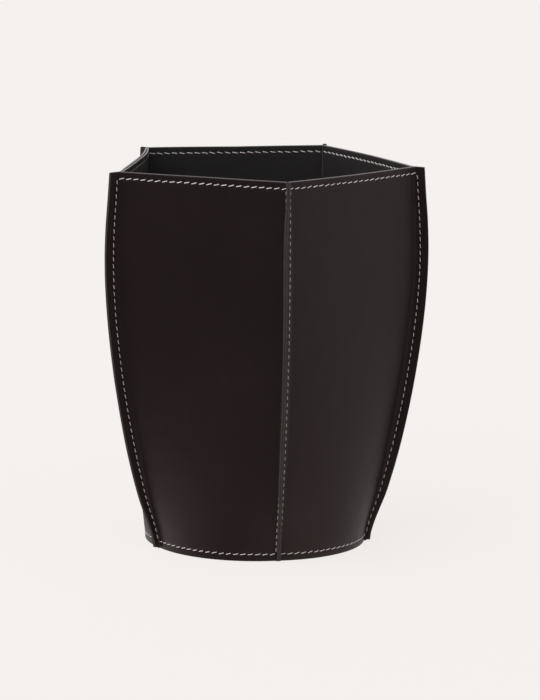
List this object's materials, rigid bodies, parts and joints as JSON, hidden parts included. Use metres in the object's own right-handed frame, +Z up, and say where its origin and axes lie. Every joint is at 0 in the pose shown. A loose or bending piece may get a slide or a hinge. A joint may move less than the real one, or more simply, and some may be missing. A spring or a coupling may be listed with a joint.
{
  "type": "pen holder cup",
  "caption": "Five-sided leather desk cup with a flat pentagon rim, a round base, outward pinched seam fins and pale contrast stitching.",
  "frame": {"origin": "centre of the flat underside, on the cup's axis", "axes": "+Z up along the cup's axis towards the open rim, -Y towards one seam fin, +X to the right when that seam faces the viewer"},
  "size_m": [0.1026, 0.0975, 0.12],
  "materials": {
    "panel_leather": "smooth dark brown, matte to satin",
    "lining_leather": "smooth near black, matte",
    "base_leather": "smooth dark brown, matte",
    "board": "pressed fibreboard, matte",
    "thread": "twisted waxed thread, off-white"
  },
  "bodies": {
    "root": {"base_board": "board", "base_leather": "base_leather", "base_thread_1": "thread", "base_thread_2": "thread", "base_thread_3": "thread", "base_thread_4": "thread", "base_thread_5": "thread", "floor_lining": "lining_leather", "lining_panel_1": "lining_leather", "lining_panel_2": "lining_leather", "lining_panel_3": "lining_leather", "lining_panel_4": "lining_leather", "lining_panel_5": "lining_leather", "outer_panel_1": "panel_leather", "outer_panel_2": "panel_leather", "outer_panel_3": "panel_leather", "outer_panel_4": "panel_leather", "outer_panel_5": "panel_leather", "rim_thread_1": "thread", "rim_thread_2": "thread", "rim_thread_3": "thread", "rim_thread_4": "thread", "rim_thread_5": "thread", "seam_thread_1": "thread", "seam_thread_2": "thread", "seam_thread_3": "thread", "seam_thread_4": "thread", "seam_thread_5": "thread"}
  },
  "joints": []
}
